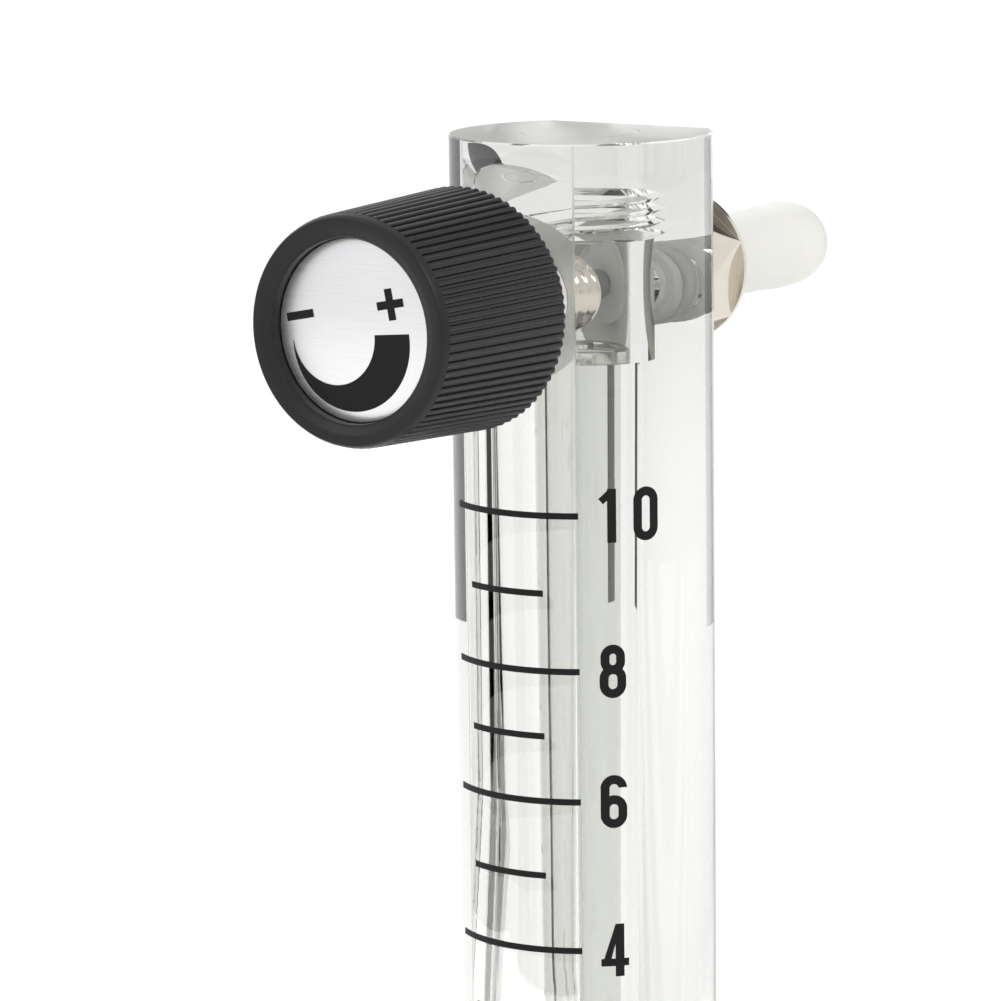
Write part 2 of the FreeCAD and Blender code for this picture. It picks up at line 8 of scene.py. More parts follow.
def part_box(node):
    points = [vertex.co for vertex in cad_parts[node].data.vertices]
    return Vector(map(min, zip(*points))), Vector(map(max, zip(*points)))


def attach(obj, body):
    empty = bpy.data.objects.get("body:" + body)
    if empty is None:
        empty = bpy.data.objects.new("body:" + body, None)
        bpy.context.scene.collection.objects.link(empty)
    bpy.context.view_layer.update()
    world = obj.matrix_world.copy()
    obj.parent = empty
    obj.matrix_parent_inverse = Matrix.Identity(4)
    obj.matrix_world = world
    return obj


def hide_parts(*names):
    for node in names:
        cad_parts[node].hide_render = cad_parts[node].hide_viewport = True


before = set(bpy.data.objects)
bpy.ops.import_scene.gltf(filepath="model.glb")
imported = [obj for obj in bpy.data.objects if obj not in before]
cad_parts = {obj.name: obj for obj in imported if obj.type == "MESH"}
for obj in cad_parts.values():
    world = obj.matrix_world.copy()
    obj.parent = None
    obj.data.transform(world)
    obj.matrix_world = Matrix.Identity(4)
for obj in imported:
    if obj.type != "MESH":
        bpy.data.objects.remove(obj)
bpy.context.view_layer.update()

bl_info = {
    "name": "Acrylic gas flow meter",
    "version": (1, 0, 0),
    "blender": (4, 5, 0),
    "location": "3D View > Sidebar > Flow meter",
    "description": "Builds the finished pieces of a panel-mounted acrylic flow meter round its frame",
    "category": "Object",
}

MM = 0.001
BODY_LOW, BODY_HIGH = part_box("meter_body")
KNOB_LOW, KNOB_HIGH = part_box("knob")
PLATE_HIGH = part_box("knob_plate")[1]
TAIL_LOW, TAIL_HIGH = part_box("outlet_hose_tail")
BARREL_LOW, BARREL_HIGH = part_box("valve_body")

ROD_RADIUS = (BODY_HIGH.x - BODY_LOW.x) / 2
HALF_HEIGHT = BODY_HIGH.z
BORE_Y = BODY_LOW.y + ROD_RADIUS          # the bore axis lies one rod radius behind the front
OUTLET_Z = (TAIL_LOW.z + TAIL_HIGH.z) / 2
SHOULDER_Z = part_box("upper_float_stop")[0].z   # shoulder between a chamber and the tapered tube
PLUG_END_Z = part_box("top_plug")[0].z

CHAMBER_RADIUS = 4.6 * MM
TUBE_BOTTOM_RADIUS = 3.0 * MM
TUBE_TOP_RADIUS = 3.65 * MM
PORT_WALL_RADIUS = 3.3 * MM               # inside the thread roots, so threads sink into the wall
SPOT_FACE_RADIUS = 8.15 * MM
SPOT_FACE_START = 10.9 * MM               # from the bore axis towards the front
BLOCK_BEVEL = 0.15 * MM
JOINT_INNER, JOINT_OUTER = 5.55 * MM, 5.65 * MM   # hairline round a bonded end plug
JOINT_DEPTH = 0.06 * MM
PLUG_THREAD_CREST = 5.3 * MM
PLUG_THREAD_STEPS = 96                    # steps in a turn of the plug's thread
SHANK_RADIUS = 3.95 * MM                  # M8 threads on the barrel and the tails
CARD_REACH = 0.42                         # metres from the bore axis
CARD_TOP = 0.5

UP = Vector((0, 0, 1))
FRONT = Vector((0, -1, 0))
BACK = Vector((0, 1, 0))
ROUND = 192                               # faces round a turned piece
FINE_ROUND = 384                          # faces round the block


def linear(code):
    """Linear colour with full alpha from an sRGB hex value."""
    values = [int(code[index:index + 2], 16) / 255 for index in (1, 3, 5)]
    return tuple(v / 12.92 if v <= 0.04045 else ((v + 0.055) / 1.055) ** 2.4 for v in values) + (1.0,)


class MeterSizes(bpy.types.PropertyGroup):
    """Sizes that shape the finished pieces."""
    rib_count: bpy.props.IntProperty(
        name="Ribs", description="Grip ribs round the knob", default=80, min=12, max=160)
    rib_height: bpy.props.FloatProperty(
        name="Rib height", description="Height of a grip rib", default=0.24 * MM, unit="LENGTH")
    plug_pitch: bpy.props.FloatProperty(
        name="Plug pitch", description="Thread pitch of the end plugs", default=1.18 * MM, unit="LENGTH")
    plug_thread: bpy.props.FloatProperty(
        name="Plug thread depth", description="Depth of the end plugs' thread", default=0.6 * MM,
        unit="LENGTH")
    valve_pitch: bpy.props.FloatProperty(
        name="Valve pitch", description="Thread pitch of the valve barrel", default=1.25 * MM,
        unit="LENGTH")
    tail_pitch: bpy.props.FloatProperty(
        name="Tail pitch", description="Thread pitch of the hose tails", default=1.25 * MM, unit="LENGTH")
    edge: bpy.props.FloatProperty(
        name="Broken edge", description="Width of the broken edges of metal pieces", default=0.12 * MM,
        unit="LENGTH")


class MeterColours(bpy.types.PropertyGroup):
    """Colours of the finishes."""
    acrylic: bpy.props.FloatVectorProperty(
        name="Acrylic", description="Tint of the clear block", subtype="COLOR", size=4, min=0, max=1,
        default=linear("#dfe0dd"))
    knob: bpy.props.FloatVectorProperty(
        name="Knob", description="Moulded black plastic", subtype="COLOR", size=4, min=0, max=1,
        default=linear("#111112"))
    ink: bpy.props.FloatVectorProperty(
        name="Ink", description="Screen-printed black", subtype="COLOR", size=4, min=0, max=1,
        default=linear("#141414"))
    plate: bpy.props.FloatVectorProperty(
        name="Plate", description="Brushed aluminium", subtype="COLOR", size=4, min=0, max=1,
        default=linear("#e9e9ea"))
    nickel: bpy.props.FloatVectorProperty(
        name="Nickel", description="Nickel plate", subtype="COLOR", size=4, min=0, max=1,
        default=linear("#d9d3c8"))
    nylon: bpy.props.FloatVectorProperty(
        name="Nylon", description="Natural nylon", subtype="COLOR", size=4, min=0, max=1,
        default=linear("#eeede8"))


# ---------------------------------------------------------------- mesh helpers

def place(centre, direction):
    """Matrix that lays a shape turned about Z along a direction from a centre."""
    return Matrix.Translation(centre) @ UP.rotation_difference(direction).to_matrix().to_4x4()


def thread_run(start, end, radius, pitch, depth, rows=10):
    """Stations of a screw thread: (along, radius, depth, pitch), running out at both ends."""
    steps = max(2, round(abs(end - start) / pitch * rows))
    stations = []
    for step in range(steps + 1):
        along = start + (end - start) * step / steps
        run_out = min(1.0, min(abs(along - start), abs(end - along)) / (0.4 * pitch))
        stations.append((along, radius, depth * run_out, pitch))
    return stations


def thread_dip(turns):
    """Share of the thread's depth at a phase in turns: flat crest, straight flanks, narrow root."""
    phase = turns % 1.0
    rise = abs(phase - 0.5) * 2
    return min(1.0, max(0.0, (1 - rise) * 1.3 - 0.1))


def turned_mesh(name, stations, matrix, around=ROUND, closed=False):
    """Mesh turned from stations of (along, radius[, depth, pitch]); closed joins the last to the first."""
    mesh_data = bmesh.new()
    rings = []
    for station in stations:
        along, radius = station[:2]
        depth, pitch = station[2:] if len(station) > 2 else (0.0, 1.0)
        if radius <= 1e-9:
            rings.append([mesh_data.verts.new((0, 0, along))])
            continue
        ring = []
        for step in range(around):
            angle = 2 * math.pi * step / around
            r = radius - depth * thread_dip(along / pitch - step / around) if depth else radius
            ring.append(mesh_data.verts.new((r * math.cos(angle), r * math.sin(angle), along)))
        rings.append(ring)
    pairs = list(zip(rings, rings[1:]))
    if closed:
        pairs.append((rings[-1], rings[0]))
    for low, high in pairs:
        for step in range(around):
            following = (step + 1) % around
            if len(low) == 1 and len(high) == 1:
                continue
            if len(low) == 1:
                mesh_data.faces.new((low[0], high[following], high[step]))
            elif len(high) == 1:
                mesh_data.faces.new((low[step], low[following], high[0]))
            else:
                mesh_data.faces.new((low[step], low[following], high[following], high[step]))
    if not closed:
        for ring in (rings[0], rings[-1]):
            if len(ring) > 1:
                mesh_data.faces.new(ring)
    bmesh.ops.recalc_face_normals(mesh_data, faces=mesh_data.faces)
    mesh = bpy.data.meshes.new(name)
    mesh_data.to_mesh(mesh)
    mesh_data.free()
    mesh.transform(matrix)
    return mesh


def add_object(name, mesh):
    """Object at the origin that holds a mesh."""
    piece = bpy.data.objects.new(name, mesh)
    bpy.context.scene.collection.objects.link(piece)
    return piece


def settle(piece):
    """Turn a piece's modifiers into its plain mesh and remove them."""
    graph = bpy.context.evaluated_depsgraph_get()
    mesh = bpy.data.meshes.new_from_object(piece.evaluated_get(graph))
    piece.modifiers.clear()
    piece.data = mesh
    return piece


def smooth(piece, degrees=30):
    """Smooth shading that stays sharp at edges steeper than an angle."""
    piece.data.shade_smooth()
    piece.data.set_sharp_from_angle(angle=math.radians(degrees))
    return piece


def cut_with(piece, cutters):
    """Subtract meshes from a piece."""
    for index, mesh in enumerate(cutters):
        cutter = add_object("cutter", mesh)
        modifier = piece.modifiers.new("cut", "BOOLEAN")
        modifier.operation = "DIFFERENCE"
        modifier.solver = "EXACT"
        modifier.object = cutter
        settle(piece)
        bpy.data.objects.remove(cutter)
    return piece


def box_mesh(name, low, high):
    """Box between two corners."""
    mesh_data = bmesh.new()
    bmesh.ops.create_cube(mesh_data, size=1.0)
    for vert in mesh_data.verts:
        for axis in range(3):
            vert.co[axis] = high[axis] if vert.co[axis] > 0 else low[axis]
    mesh = bpy.data.meshes.new(name)
    mesh_data.to_mesh(mesh)
    mesh_data.free()
    return mesh


def broken_edges(name, node, width, degrees=30):
    """Copy of a CAD node, merged and with its hard edges rounded over."""
    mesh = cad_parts[node].data.copy()
    mesh_data = bmesh.new()
    mesh_data.from_mesh(mesh)
    bmesh.ops.remove_doubles(mesh_data, verts=mesh_data.verts, dist=2e-6)
    bmesh.ops.dissolve_limit(mesh_data, angle_limit=math.radians(0.5), verts=mesh_data.verts,
                             edges=mesh_data.edges)
    mesh_data.to_mesh(mesh)
    mesh_data.free()
    mesh.materials.clear()
    mesh.name = name
    piece = add_object(name, mesh)
    bevel = piece.modifiers.new("edges", "BEVEL")
    bevel.width = width
    bevel.segments = 2
    bevel.limit_method = "ANGLE"
    bevel.angle_limit = math.radians(degrees)
    bevel.use_clamp_overlap = True
    settle(piece)
    return smooth(piece, degrees)


def finish_piece(piece, material, body, slot, *nodes):
    """Give a piece its material and body, and let it stand for CAD nodes."""
    if material is not None:
        piece.data.materials.clear()
        piece.data.materials.append(material)
    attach(piece, body)
    if nodes:
        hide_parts(*nodes)
    return piece


def paint_node(node, material):
    """Give a CAD node that stays its finished material."""
    mesh_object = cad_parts[node]
    mesh_object.data.materials.clear()
    mesh_object.data.materials.append(material)


# ---------------------------------------------------------------- materials

def add_node(tree, kind, inputs=None, **settings):
    """Add a node with its settings; an input is a value, or a socket to link from."""
    made = tree.nodes.new(kind)
    for key, value in settings.items():
        setattr(made, key, value)
    for key, value in (inputs or {}).items():
        if isinstance(value, bpy.types.NodeSocket):
            tree.links.new(value, made.inputs[key])
        else:
            made.inputs[key].default_value = value
    return made


def new_material(name):
    """Empty node material with its output, and a Principled shader on it."""
    material = bpy.data.materials.new(name)
    material.use_nodes = True
    tree = material.node_tree
    tree.nodes.clear()
    shader = add_node(tree, "ShaderNodeBsdfPrincipled")
    add_node(tree, "ShaderNodeOutputMaterial", {"Surface": shader.outputs["BSDF"]})
    return material, tree, shader


def object_mapping(tree, scale):
    """Object coordinates stretched by a scale on each axis."""
    coordinates = add_node(tree, "ShaderNodeTexCoord")
    mapping = add_node(tree, "ShaderNodeMapping",
                       {"Vector": coordinates.outputs["Object"], "Scale": scale})
    return mapping.outputs["Vector"]


def cast_acrylic(name, tint, rough, bump_height, grain_mm):
    """Cast acrylic: clear, refracts like water-white glass; sawn or milled faces are frosted."""
    material, tree, shader = new_material(name)
    shader.inputs["Base Color"].default_value = tint
    shader.inputs["Transmission Weight"].default_value = 1.0
    shader.inputs["IOR"].default_value = 1.49
    vector = object_mapping(tree, (1, 1, 1))
    grain = add_node(tree, "ShaderNodeTexNoise",
                     {"Vector": vector, "Scale": 1 / (grain_mm * MM), "Detail": 3.0})
    level = add_node(tree, "ShaderNodeMapRange",
                     {"Value": grain.outputs["Fac"], "To Min": rough * 0.7, "To Max": rough * 1.3})
    tree.links.new(level.outputs["Result"], shader.inputs["Roughness"])
    bump = add_node(tree, "ShaderNodeBump",
                    {"Height": grain.outputs["Fac"], "Strength": 0.05, "Distance": bump_height * MM})
    tree.links.new(bump.outputs["Normal"], shader.inputs["Normal"])
    return material


def moulded_abs(name, colour):
    """Injection-moulded black ABS: dark satin with a fine spark-eroded texture."""
    material, tree, shader = new_material(name)
    shader.inputs["Specular IOR Level"].default_value = 0.3
    vector = object_mapping(tree, (1, 1, 1))
    grain = add_node(tree, "ShaderNodeTexNoise",
                     {"Vector": vector, "Scale": 1 / (0.12 * MM), "Detail": 4.0})
    cloud = add_node(tree, "ShaderNodeTexNoise",
                     {"Vector": vector, "Scale": 1 / (3.0 * MM), "Detail": 2.0})
    darker = tuple(c * 0.75 for c in colour[:3]) + (1.0,)
    tone = add_node(tree, "ShaderNodeMix", {"Factor": cloud.outputs["Fac"]}, data_type="RGBA")
    tone.inputs["A"].default_value = darker
    tone.inputs["B"].default_value = colour
    tree.links.new(tone.outputs["Result"], shader.inputs["Base Color"])
    level = add_node(tree, "ShaderNodeMapRange",
                     {"Value": grain.outputs["Fac"], "To Min": 0.3, "To Max": 0.44})
    tree.links.new(level.outputs["Result"], shader.inputs["Roughness"])
    bump = add_node(tree, "ShaderNodeBump",
                    {"Height": grain.outputs["Fac"], "Strength": 0.2, "Distance": 0.02 * MM})
    tree.links.new(bump.outputs["Normal"], shader.inputs["Normal"])
    return material


def brushed_aluminium(name, colour):
    """Linear-brushed aluminium under a clear coat: streaked along X, mirrors softly."""
    material, tree, shader = new_material(name)
    shader.inputs["Metallic"].default_value = 1.0
    shader.inputs["Coat Weight"].default_value = 0.6
    shader.inputs["Coat Roughness"].default_value = 0.04
    shader.inputs["Anisotropic"].default_value = 0.6
    vector = object_mapping(tree, (0.03, 1, 1))
    streak = add_node(tree, "ShaderNodeTexNoise",
                     {"Vector": vector, "Scale": 1 / (0.14 * MM), "Detail": 5.0})
    tone = add_node(tree, "ShaderNodeMix", {"Factor": streak.outputs["Fac"]}, data_type="RGBA")
    tone.inputs["A"].default_value = tuple(c * 0.82 for c in colour[:3]) + (1.0,)
    tone.inputs["B"].default_value = colour
    tree.links.new(tone.outputs["Result"], shader.inputs["Base Color"])
    level = add_node(tree, "ShaderNodeMapRange",
                     {"Value": streak.outputs["Fac"], "To Min": 0.25, "To Max": 0.45})
    tree.links.new(level.outputs["Result"], shader.inputs["Roughness"])
    bump = add_node(tree, "ShaderNodeBump",
                    {"Height": streak.outputs["Fac"], "Strength": 0.3, "Distance": 0.01 * MM})
    tree.links.new(bump.outputs["Normal"], shader.inputs["Normal"])
    return material


def plated_metal(name, colour, rough, mottle_mm=1.2):
    """Bright nickel plate, turned steel or brass: a mirror with faint tool marks."""
    material, tree, shader = new_material(name)
    shader.inputs["Metallic"].default_value = 1.0
    vector = object_mapping(tree, (1, 1, 1))
    cloud = add_node(tree, "ShaderNodeTexNoise",
                     {"Vector": vector, "Scale": 1 / (mottle_mm * MM), "Detail": 4.0})
    tone = add_node(tree, "ShaderNodeMix", {"Factor": cloud.outputs["Fac"]}, data_type="RGBA")
    tone.inputs["A"].default_value = tuple(c * 0.88 for c in colour[:3]) + (1.0,)
    tone.inputs["B"].default_value = colour
    tree.links.new(tone.outputs["Result"], shader.inputs["Base Color"])
    level = add_node(tree, "ShaderNodeMapRange",
                     {"Value": cloud.outputs["Fac"], "To Min": rough * 0.7, "To Max": rough * 1.3})
    tree.links.new(level.outputs["Result"], shader.inputs["Roughness"])
    return material


def milky_plastic(name, colour, rough, clear):
    """Nylon, silicone or pale pressed fibre: milky, scatters the light that it lets in."""
    material, tree, shader = new_material(name)
    shader.inputs["Subsurface Weight"].default_value = 0.6
    shader.inputs["Subsurface Radius"].default_value = (1.0, 0.95, 0.85)
    shader.inputs["Subsurface Scale"].default_value = 3.0 * MM
    shader.inputs["Transmission Weight"].default_value = clear
    shader.inputs["IOR"].default_value = 1.5
    vector = object_mapping(tree, (1, 1, 1))
    grain = add_node(tree, "ShaderNodeTexNoise",
                     {"Vector": vector, "Scale": 1 / (0.5 * MM), "Detail": 4.0})
    tone = add_node(tree, "ShaderNodeMix", {"Factor": grain.outputs["Fac"]}, data_type="RGBA")
    tone.inputs["A"].default_value = tuple(c * 0.95 for c in colour[:3]) + (1.0,)
    tone.inputs["B"].default_value = colour
    tree.links.new(tone.outputs["Result"], shader.inputs["Base Color"])
    level = add_node(tree, "ShaderNodeMapRange",
                     {"Value": grain.outputs["Fac"], "To Min": rough * 0.85, "To Max": rough * 1.15})
    tree.links.new(level.outputs["Result"], shader.inputs["Roughness"])
    bump = add_node(tree, "ShaderNodeBump",
                    {"Height": grain.outputs["Fac"], "Strength": 0.15, "Distance": 0.03 * MM})
    tree.links.new(bump.outputs["Normal"], shader.inputs["Normal"])
    return material


def printed_ink(name, colour):
    """Screen-printed ink: near-black, slightly glossy, a little uneven."""
    material, tree, shader = new_material(name)
    shader.inputs["Specular IOR Level"].default_value = 0.15
    vector = object_mapping(tree, (1, 1, 1))
    cloud = add_node(tree, "ShaderNodeTexNoise",
                     {"Vector": vector, "Scale": 1 / (0.6 * MM), "Detail": 3.0})
    tone = add_node(tree, "ShaderNodeMix", {"Factor": cloud.outputs["Fac"]}, data_type="RGBA")
    tone.inputs["A"].default_value = tuple(c * 0.8 for c in colour[:3]) + (1.0,)
    tone.inputs["B"].default_value = colour
    tree.links.new(tone.outputs["Result"], shader.inputs["Base Color"])
    level = add_node(tree, "ShaderNodeMapRange",
                     {"Value": cloud.outputs["Fac"], "To Min": 0.4, "To Max": 0.55})
    tree.links.new(level.outputs["Result"], shader.inputs["Roughness"])
    return material


def black_rubber(name):
    """Moulded nitrile rubber: deep matt black."""
    material, tree, shader = new_material(name)
    vector = object_mapping(tree, (1, 1, 1))
    grain = add_node(tree, "ShaderNodeTexNoise",
                     {"Vector": vector, "Scale": 1 / (0.2 * MM), "Detail": 3.0})
    tone = add_node(tree, "ShaderNodeMix", {"Factor": grain.outputs["Fac"]}, data_type="RGBA")
    tone.inputs["A"].default_value = linear("#101010")
    tone.inputs["B"].default_value = linear("#1e1e1e")
    tree.links.new(tone.outputs["Result"], shader.inputs["Base Color"])
    shader.inputs["Roughness"].default_value = 0.7
    return material


MATERIALS = {}


def finishes():
    """Every material of the meter, made once."""
    if MATERIALS:
        return MATERIALS
    colours = bpy.context.scene.meter_colours
    MATERIALS.update({
        "clear": cast_acrylic("acrylic_polished", tuple(colours.acrylic), 0.012, 0.002, 4.0),
        "frosted": cast_acrylic("acrylic_sawn", tuple(colours.acrylic), 0.6, 0.02, 0.25),
        "stop": cast_acrylic("clear_nylon_moulded", linear("#f4f4f0"), 0.15, 0.01, 0.5),
        "knob": moulded_abs("abs_black_moulded", tuple(colours.knob)),
        "plate": brushed_aluminium("aluminium_brushed", tuple(colours.plate)),
        "nickel": plated_metal("brass_nickel_plated", tuple(colours.nickel), 0.14),
        "steel": plated_metal("stainless_turned", linear("#c9c9c6"), 0.24),
        "brass": plated_metal("brass_turned", linear("#d8b06a"), 0.22),
        "nylon": milky_plastic("nylon_natural_moulded", tuple(colours.nylon), 0.45, 0.25),
        "silicone": milky_plastic("silicone_clear_moulded", linear("#f2f2ee"), 0.35, 0.5),
        "gasket": milky_plastic("fibre_gasket_cut", linear("#f0eeea"), 0.5, 0.0),
        "ink": printed_ink("ink_black_printed", tuple(colours.ink)),
        "rubber": black_rubber("nitrile_black_moulded"),
    })
    return MATERIALS


# ---------------------------------------------------------------- pieces

class METER_OT_block(bpy.types.Operator):
    """Clear acrylic block with its bonded end plugs"""
    bl_idname = "meter.block"
    bl_label = "Acrylic block"

    def tube_cavity(self):
        """Air inside the block along the bore: two smooth chambers and the tapered tube."""
        profile = [(-PLUG_END_Z, 0.0), (-PLUG_END_Z, CHAMBER_RADIUS), (-SHOULDER_Z, CHAMBER_RADIUS),
                   (-SHOULDER_Z, TUBE_BOTTOM_RADIUS), (SHOULDER_Z, TUBE_TOP_RADIUS),
                   (SHOULDER_Z, CHAMBER_RADIUS), (PLUG_END_Z, CHAMBER_RADIUS), (PLUG_END_Z, 0.0)]
        return turned_mesh("tube_cavity", profile, place(Vector((0, BORE_Y, 0)), UP), ROUND)

    def thread_void(self, sizes, side):
        """Hair-thin helical gap that stays open round the bonded thread of an end plug."""
        pitch, depth = sizes.plug_pitch, sizes.plug_thread
        start, end = PLUG_END_Z + 0.3 * MM, HALF_HEIGHT - 4.9 * MM
        crest = PLUG_THREAD_CREST
        steps = round((end - start) / pitch * PLUG_THREAD_STEPS)
        mesh_data = bmesh.new()
        rows = []
        for step in range(steps + 1):
            share = step / steps
            swell = min(1.0, 8 * share, 8 * (1 - share))
            angle = 2 * math.pi * step / PLUG_THREAD_STEPS
            along = start + (end - start) * share
            flank = 0.3 * pitch * swell
            section = ((crest, along), (crest - depth * swell, along + flank),
                       (crest - depth * 0.8 * swell, along - flank))
            rows.append([mesh_data.verts.new((radius * math.cos(angle), BORE_Y + radius * math.sin(angle),
                                              side * height)) for radius, height in section])
        for low, high in zip(rows, rows[1:]):
            for corner in range(3):
                following = (corner + 1) % 3
                mesh_data.faces.new((low[corner], low[following], high[following], high[corner]))
        bmesh.ops.remove_doubles(mesh_data, verts=mesh_data.verts, dist=1e-7)
        bmesh.ops.recalc_face_normals(mesh_data, faces=mesh_data.faces)
        bmesh.ops.reverse_faces(mesh_data, faces=mesh_data.faces)
        mesh = bpy.data.meshes.new("thread_void")
        mesh_data.to_mesh(mesh)
        mesh_data.free()
        return mesh

    def execute(self, context):
        sizes = context.scene.meter_sizes
        past_end = HALF_HEIGHT + 1 * MM
        groove = [(HALF_HEIGHT - JOINT_DEPTH, JOINT_INNER), (past_end, JOINT_INNER),
                  (past_end, JOINT_OUTER), (HALF_HEIGHT - JOINT_DEPTH, JOINT_OUTER)]
        rod = turned_mesh("acrylic_block",
                          [(-HALF_HEIGHT, 0), (-HALF_HEIGHT, ROD_RADIUS - BLOCK_BEVEL),
                           (-HALF_HEIGHT + BLOCK_BEVEL, ROD_RADIUS),
                           (HALF_HEIGHT - BLOCK_BEVEL, ROD_RADIUS),
                           (HALF_HEIGHT, ROD_RADIUS - BLOCK_BEVEL), (HALF_HEIGHT, 0)],
                          place(Vector((0, BORE_Y, 0)), UP), FINE_ROUND)
        block = add_object("acrylic_block", rod)
        far = 0.2
        cutters = [box_mesh("flat", (-far, 0, -far), (far, far, far)), self.tube_cavity()]
        for direction in (UP, -UP):
            cutters.append(turned_mesh("plug_joint", groove, place(Vector((0, BORE_Y, 0)), direction),
                                       ROUND, closed=True))
        port_end = 9.5 * MM
        for z in (OUTLET_Z, -OUTLET_Z):
            cutters.append(turned_mesh("port", [(0, PORT_WALL_RADIUS), (port_end, PORT_WALL_RADIUS)],
                                       place(Vector((0, BORE_Y, z)), BACK), 128))
        valve = [(0, PORT_WALL_RADIUS), (SPOT_FACE_START, PORT_WALL_RADIUS),
                 (SPOT_FACE_START, SPOT_FACE_RADIUS), (14 * MM, SPOT_FACE_RADIUS)]
        cutters.append(turned_mesh("spot_face", valve, place(Vector((0, BORE_Y, OUTLET_Z)), FRONT), 256))
        cut_with(block, cutters)
        joined = bmesh.new()
        joined.from_mesh(block.data)
        for side in (1, -1):
            joined.from_mesh(self.thread_void(sizes, side))
        joined.to_mesh(block.data)
        joined.free()
        smooth(block, 25)
        clear, frosted = finishes()["clear"], finishes()["frosted"]
        block.data.materials.clear()
        block.data.materials.append(clear)
        block.data.materials.append(frosted)
        near = 0.02 * MM
        for face in block.data.polygons:
            at_end = abs(abs(face.center.z) - HALF_HEIGHT) < near
            across = math.hypot(face.center.x, face.center.z - OUTLET_Z)
            in_spot = across < 8.3 * MM and face.center.y < BORE_Y - 10.8 * MM
            face.material_index = 1 if at_end or in_spot else 0
        finish_piece(block, None, "block", "clear_acrylic", "meter_body", "top_plug", "bottom_plug")
        return {"FINISHED"}


class METER_OT_scale(bpy.types.Operator):
    """Printed marks and numbers on the block"""
    bl_idname = "meter.scale"
    bl_label = "Printed scale"

    def execute(self, context):
        for node in ("scale_marks", "scale_digits"):
            paint_node(node, finishes()["ink"])
        return {"FINISHED"}


class METER_OT_tube_fittings(bpy.types.Operator):
    """Float and its two stops"""
    bl_idname = "meter.tube_fittings"
    bl_label = "Float and stops"

    def execute(self, context):
        edge = context.scene.meter_sizes.edge
        for node in ("upper_float_stop", "lower_float_stop"):
            finish_piece(broken_edges(node + "_moulded", node, edge), finishes()["stop"], "block",
                         "clear_nylon", node)
        finish_piece(broken_edges("turned_float", "metering_float", edge * 0.6), finishes()["steel"],
                     "float", "stainless", "metering_float")
        return {"FINISHED"}


class METER_OT_valve(bpy.types.Operator):
    """Needle valve: threaded barrel, gasket, gland nut, stem and seal"""
    bl_idname = "meter.valve"
    bl_label = "Needle valve"

    def execute(self, context):
        sizes = context.scene.meter_sizes
        centre = Vector((0, BORE_Y, OUTLET_Z))
        inner_end = BORE_Y - BARREL_HIGH.y
        collar = 11.7 * MM
        neck_end = BORE_Y - BARREL_LOW.y
        stations = [(inner_end, 1.55 * MM), (inner_end, 3.2 * MM), (inner_end + 0.4 * MM, 3.75 * MM)]
        stations += thread_run(inner_end + 0.45 * MM, 10.6 * MM, SHANK_RADIUS, sizes.valve_pitch,
                               0.55 * MM)
        stations += [(10.7 * MM, 3.4 * MM), (collar, 3.4 * MM), (collar, 5.45 * MM),
                     (collar + 0.15 * MM, 5.6 * MM), (collar + 2.35 * MM, 5.6 * MM),
                     (collar + 2.5 * MM, 5.45 * MM), (collar + 2.5 * MM, 3.4 * MM)]
        stations += thread_run(collar + 2.6 * MM, neck_end - 0.2 * MM, 3.4 * MM, 0.75 * MM, 0.35 * MM)
        stations += [(neck_end, 3.1 * MM), (neck_end, 2.6 * MM), (12.2 * MM, 2.6 * MM),
                     (12.2 * MM, 1.55 * MM)]
        barrel = add_object("valve_barrel",
                            turned_mesh("valve_barrel", stations, place(centre, FRONT), 128, closed=True))
        finish_piece(smooth(barrel, 35), finishes()["nickel"], "block", "nickel_plate", "valve_body")
        for name, node, finish, body, slot in (
                ("valve_seat_gasket", "valve_gasket", "gasket", "block", "fibre_gasket"),
                ("gland_cap_nut", "gland_nut", "nickel", "block", "nickel_plate"),
                ("needle_stem", "valve_stem", "steel", "knob_and_stem", "stainless")):
            finish_piece(broken_edges(name, node, sizes.edge * 0.6), finishes()[finish], body, slot, node)
        paint_node("stem_o_ring", finishes()["rubber"])
        return {"FINISHED"}


